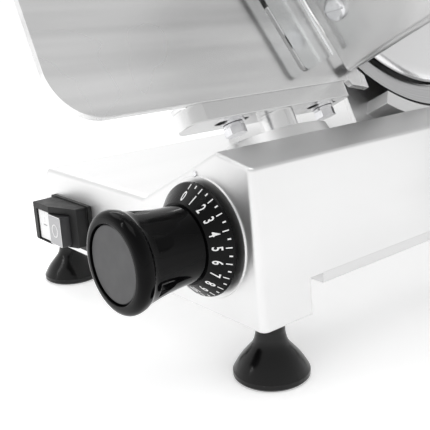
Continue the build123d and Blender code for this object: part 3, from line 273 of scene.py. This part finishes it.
stone = Look("grinding_stone", (0.62, 0.60, 0.56), roughness=0.9)
stone.tint(stone.noise(2600, 4), (0.42, 0.41, 0.38), (0.78, 0.76, 0.71))
stone.bump(stone.noise(2600, 4), 0.8, 0.0001)
M["stone"] = stone.material

clear = Look("clear_acrylic", (0.96, 0.97, 0.97),
             roughness=0.02, Transmission_Weight=1.0, IOR=1.49).rounded(0.0005)
clear.vary("Roughness", clear.noise(40, 4), 0.0, 0.04)
M["clear"] = clear.material

ink = Look("white_print", (0.9, 0.9, 0.9), roughness=0.45)
ink.vary("Roughness", ink.noise(400, 3), 0.4, 0.55)
M["ink"] = ink.material

mark = Look("grey_print", (0.32, 0.32, 0.33), roughness=0.5)
mark.vary("Roughness", mark.noise(400, 3), 0.45, 0.6)
M["mark"] = mark.material

# the raised stop button: a light face and fine moulded grain; its sides are painted darker than its face by
# which way they point, as painted shade
stop = Look("stop_button_plastic", (0.4, 0.4, 0.41), roughness=0.35).rounded(0.0006)
facing = stop.node("ShaderNodeSeparateXYZ")
stop.link(stop.node("ShaderNodeNewGeometry").outputs["Normal"], facing.inputs[0])
front = stop.node("ShaderNodeMath", operation="ABSOLUTE")
stop.link(facing.outputs["Y"], front.inputs[0])
# painted shade: the colour darkens on faces that do not point to the front
stop.tint(front.outputs[0], (0.028, 0.028, 0.03), (0.44, 0.44, 0.45), 0.55, 0.9)
stop.vary("Roughness", stop.noise(300, 3), 0.3, 0.42)
stop.bump(stop.noise(1800, 2), 0.25, 0.00004)
M["stop"] = stop.material

FINISHES = {
    "cast": ["base_casting", "bottom_cover", "ring_guard"],
    "housing": ["motor_housing", "belt_cover", "sharpener_body", "slice_deflector"],
    "gauge": ["gauge_plate"],
    "arm": ["gauge_arm", "carriage_arm", "slide_block", "slide_bracket", "pusher_arm"],
    "tray": ["meat_tray", "pusher_plate"],
    "cover": ["blade_cover"],
    "blade": ["blade"],
    "steel": ["blade_shaft", "tie_rod", "dial_shaft", "gauge_slide_rod", "carriage_rods", "pusher_rod",
              "motor_shaft", "index_pin", "cam_follower", "sharpener_post", "rod_holders", "pusher_collar"],
    "zinc": ["foot_studs", "blade_screws", "gauge_bolts", "gauge_washers", "guard_screws",
             "blade_pulley", "motor_pulley", "spiral_cam"],
    "gloss": ["knob_grip", "tie_knob", "lock_knob", "pusher_handle", "sharpener_knob", "grinding_plunger",
              "honing_plunger"],
    "dial": ["dial_skirt"],
    "cap": ["knob_cap"],
    "matte": ["switch_housing", "power_inlet"],
    "white": ["on_button"],
    "stop": ["off_button"],
    "foot": ["feet"],
    "belt": ["drive_belt", "capacitor"],
    "bronze": ["bearings", "bushings", "dial_bush"],
    "paint": ["motor_body"],
    "stone": ["grinding_stone", "honing_stone"],
    "clear": ["hand_guard"],
}
for finish, nodes in FINISHES.items():
    for name in nodes:
        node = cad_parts[name]
        for place in node.material_slots:
            place.material = M[finish]

left_over = sorted(set(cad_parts) - {n for nodes in FINISHES.values() for n in nodes})
if left_over:
    raise ValueError(f"no finish for {left_over}")

# ---------------------------------------------------------------- making pieces


def piece(name, body, mesh, finish):
    """An object that rides on a body, with its finish in its material slot."""
    made = bpy.data.objects.new(name, mesh)
    scene.collection.objects.link(made)
    mesh.materials.clear()
    mesh.materials.append(M[finish])
    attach(made, body)
    return made


# ---------------------------------------------------------------- thickness scale on the dial

SCALE_OUT = 0.0369              # the scale's cone runs from this radius ...
SCALE_IN = 0.0264               # ... to this one, where it meets the knob
RIM_BACK = 0.0057               # from the skirt's back to the cone's outer edge
RIM = dial_high.y - RIM_BACK
SCALE_RISE = RIM - dial_low.y
STEP = 17.0                     # degrees for each millimetre
HALF_STEPS = 24
TICK_OUT = 0.0365
TICK_IN = (0.0350, 0.0337)      # of half and whole millimetres
TICK_WIDTH = (0.0009, 0.0007)
NUMERAL_IN = 0.0278             # radius of the numerals' feet
NUMERAL_SIZE = 0.0096
NUMERAL_TALL = 0.7              # the numerals are drawn this much of their size along the cone ...
NUMERAL_WIDE = 0.62             # ... and this much across it
NUMERAL_MIDDLE = 0.0302         # radius where their width is true
ZERO = -0.3                     # the dial rests on its stop, a little past 0


def on_scale(radius, turn, lift):
    """A point on the dial's cone: turn is clockwise from the top for the operator, in degrees."""
    y = RIM - SCALE_RISE * (SCALE_OUT - radius) / (SCALE_OUT - SCALE_IN) - lift * 0.7
    radius += lift * 0.7
    return Vector((DIAL.x + radius * sin(radians(turn)), y, DIAL.z + radius * cos(radians(turn))))


def tick(bm, turn, inner, outer, width):
    """A thin raised bar along the cone."""
    half = width / 2
    corners = []
    for lift in (-0.0001, 0.00009):
        for radius, side in ((inner, -half), (inner, half), (outer, half), (outer, -half)):
            corners.append(bm.verts.new(on_scale(radius, turn + side / radius * 180 / pi, lift)))
    bottom, top = corners[:4], corners[4:]
    bm.faces.new(top)
    bm.faces.new(bottom[::-1])
    for i in range(4):
        bm.faces.new((bottom[i], bottom[(i + 1) % 4], top[(i + 1) % 4], top[i]))


bm = bmesh.new()
for half_step in range(HALF_STEPS + 1):
    whole = half_step % 2 == 0
    tick(bm, ZERO + half_step * STEP / 2, TICK_IN[whole], TICK_OUT, TICK_WIDTH[whole])
bmesh.ops.recalc_face_normals(bm, faces=bm.faces)
mesh = bpy.data.meshes.new("dial_ticks")
bm.to_mesh(mesh)
piece("dial_ticks", "dial", mesh, "ink")

for number in range(HALF_STEPS // 2 + 1):
    curve = bpy.data.curves.new(f"numeral_{number}", "FONT")
    curve.body = str(number)
    curve.align_x = "CENTER"
    curve.size = NUMERAL_SIZE
    curve.offset = 0.00014
    curve.extrude = 0.00009
    lettering = bpy.data.objects.new(f"lettering_{number}", curve)
    scene.collection.objects.link(lettering)
    bpy.context.view_layer.update()
    mesh = bpy.data.meshes.new_from_object(lettering.evaluated_get(bpy.context.evaluated_depsgraph_get()))
    bpy.data.objects.remove(lettering)
    low = min(v.co.y for v in mesh.vertices)
    turn = ZERO + number * STEP
    for v in mesh.vertices:
        radius = NUMERAL_IN + (v.co.y - low) * NUMERAL_TALL
        v.co = on_scale(radius, turn + NUMERAL_WIDE * v.co.x / NUMERAL_MIDDLE * 180 / pi, v.co.z)
    piece(f"dial_numeral_{number}", "dial", mesh, "ink")

# ---------------------------------------------------------------- switch

on_low, on_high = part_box("on_button")
off_low, off_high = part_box("off_button")


def rounded_box(name, centre, size, radius, body, finish):
    """A block with rounded edges, for small moulded and printed marks."""
    bm = bmesh.new()
    bmesh.ops.create_cube(bm, size=1.0)
    bmesh.ops.scale(bm, vec=size, verts=bm.verts)
    bmesh.ops.bevel(bm, geom=bm.edges[:], offset=radius, segments=3, profile=0.5, affect="EDGES")
    bmesh.ops.translate(bm, vec=centre, verts=bm.verts)
    mesh = bpy.data.meshes.new(name)
    bm.to_mesh(mesh)
    return piece(name, body, mesh, finish)


def loop(name, points, thickness, body, finish, smooth=False):
    """A closed round bead through the points."""
    curve = bpy.data.curves.new(name, "CURVE")
    curve.dimensions = "3D"
    curve.bevel_depth = thickness
    curve.bevel_resolution = 3
    spline = curve.splines.new("NURBS" if smooth else "POLY")
    spline.points.add(len(points) - 1)
    for target, place in zip(spline.points, points):
        target.co = (*place, 1)
    spline.use_cyclic_u = True
    if smooth:
        spline.order_u = 4
    made = bpy.data.objects.new(name, curve)
    scene.collection.objects.link(made)
    curve.materials.append(M[finish])
    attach(made, body)
    return made


on_face = Vector((middle("on_button").x, on_low.y, middle("on_button").z))
off_face = Vector((middle("off_button").x, off_low.y, middle("off_button").z))
rounded_box("on_mark", on_face + Vector((0.0005, 0, 0.0005)), (0.0062, 0.0002, 0.0009), 0.00009,
            "start_button", "mark")

RING_WIDE, RING_TALL = 0.0044, 0.0052       # half sizes of the stop button's ring
RING_POINTS = 24
BEAD = 0.0005                               # thickness of the ring and of the button's rim
ring = []
for i in range(RING_POINTS):
    a = 2 * pi * i / RING_POINTS
    ring.append(off_face + Vector((RING_WIDE * cos(a), 0.0001, RING_TALL * sin(a))))
loop("off_mark", ring, BEAD, "stop_button", "white", smooth=True)

BEAD_INSET = 0.0006                         # keeps the rim's bead inside the button's outline
BEAD_CORNER = 0.001
half_x = (off_high.x - off_low.x) / 2 - BEAD_INSET
half_z = (off_high.z - off_low.z) / 2 - BEAD_INSET
border = []
for sx, sz, start in ((1, 1, 0), (-1, 1, 90), (-1, -1, 180), (1, -1, 270)):
    for k in range(5):
        a = radians(start + k * 22.5)
        x = sx * (half_x - BEAD_CORNER) + BEAD_CORNER * cos(a)
        z = sz * (half_z - BEAD_CORNER) + BEAD_CORNER * sin(a)
        border.append(off_face + Vector((x, 0.00045, z)))
loop("off_rim", border, BEAD, "stop_button", "white")

# ---------------------------------------------------------------- floor, light and camera

bpy.ops.mesh.primitive_plane_add(size=40, location=(0, 0, 0))
floor = bpy.context.object
floor.name = "floor"
ground = Look("floor_paper", (0.93, 0.93, 0.93), roughness=0.9)
ground.tint(ground.noise(3, 2), (0.92, 0.92, 0.92), (0.94, 0.94, 0.94))
ground.set("Emission Color", (1, 1, 1, 1))
ground.set("Emission Strength", 0.36)
floor.data.materials.append(ground.material)

world = bpy.data.worlds.new("studio")
scene.world = world
world.use_nodes = True
sky = world.node_tree
where = sky.nodes.new("ShaderNodeTexCoord")
height = sky.nodes.new("ShaderNodeSeparateXYZ")
sky.links.new(where.outputs["Generated"], height.inputs[0])
shades = sky.nodes.new("ShaderNodeValToRGB")
shades.color_ramp.elements[0].position = 0.0
shades.color_ramp.elements[0].color = (1.0, 1.0, 1.0, 1)
shades.color_ramp.elements[1].position = 0.9
shades.color_ramp.elements[1].color = (0.5, 0.5, 0.5, 1)
# the sky darkens from the horizon up, with one soft card to the left
for stop_at, shade in ((0.12, 1.0), (0.3, 0.8), (0.45, 0.68), (0.6, 0.64)):
    element = shades.color_ramp.elements.new(stop_at)
    element.color = (shade, shade, shade, 1)
sky.links.new(height.outputs["Z"], shades.inputs["Fac"])


def card(colour, toward, inner, outer, shade):
    """A soft round card in the sky: full inside one cosine, gone outside the other."""
    facing = sky.nodes.new("ShaderNodeVectorMath")
    facing.operation = "DOT_PRODUCT"
    facing.inputs[1].default_value = Vector(toward).normalized()
    sky.links.new(where.outputs["Generated"], facing.inputs[0])
    spread = sky.nodes.new("ShaderNodeMapRange")
    spread.interpolation_type = "SMOOTHSTEP"
    spread.inputs["From Min"].default_value = outer
    spread.inputs["From Max"].default_value = inner
    sky.links.new(facing.outputs["Value"], spread.inputs["Value"])
    over = sky.nodes.new("ShaderNodeMix")
    over.data_type = "RGBA"
    over.inputs["B"].default_value = (shade, shade, shade, 1)
    sky.links.new(spread.outputs["Result"], over.inputs["Factor"])
    sky.links.new(colour, over.inputs["A"])
    return over.outputs["Result"]


lit = card(shades.outputs["Color"], (-0.8, 0.2, 0.56), 0.99, 0.7, 0.98)
sky.links.new(lit, sky.nodes["Background"].inputs["Color"])
sky.nodes["Background"].inputs["Strength"].default_value = 1.05


def softbox(name, place, aim, size, power):
    """A rectangular light at a place, aimed at another."""
    lamp = bpy.data.lights.new(name, "AREA")
    lamp.shape = "RECTANGLE"
    lamp.size, lamp.size_y = size
    lamp.energy = power
    made = bpy.data.objects.new(name, lamp)
    scene.collection.objects.link(made)
    made.location = place
    made.rotation_euler = (Vector(aim) - Vector(place)).to_track_quat("-Z", "Y").to_euler()


softbox("key", (-1.2, -0.6, 1.6), (0, 0, 0.15), (1.0, 1.0), 4)
softbox("top", (0.2, -0.2, 1.7), (0, 0, 0.1), (1.0, 1.0), 5)
softbox("strip_left", (-1.5, 0.45, 1.25), (0, -0.2, 0.1), (1.4, 0.05), 2.5)
softbox("strip_front", (-0.55, -1.3, 1.2), (0, -0.2, 0.05), (0.05, 1.0), 2)

lens = bpy.data.cameras.new("camera")
camera = bpy.data.objects.new("camera", lens)
scene.collection.objects.link(camera)
CAMERA_FROM_CORNER = Vector((0.29279, -0.26627, 0.22852))
HEADING, DIP, ROLL = 51.42, 16.11, -3.2     # degrees: to the left of straight back, down, and tilt
camera.location = CORNER + CAMERA_FROM_CORNER
heading = Matrix.Rotation(radians(HEADING), 4, "Z")
pitch = Matrix.Rotation(radians(90 - DIP), 4, "X")
tilt = Matrix.Rotation(radians(ROLL), 4, "Z")
camera.rotation_euler = (heading @ pitch @ tilt).to_euler()
lens.sensor_width = 36
lens.lens = 60.26
lens.clip_start = 0.01
scene.camera = camera
scene.view_settings.view_transform = "Standard"
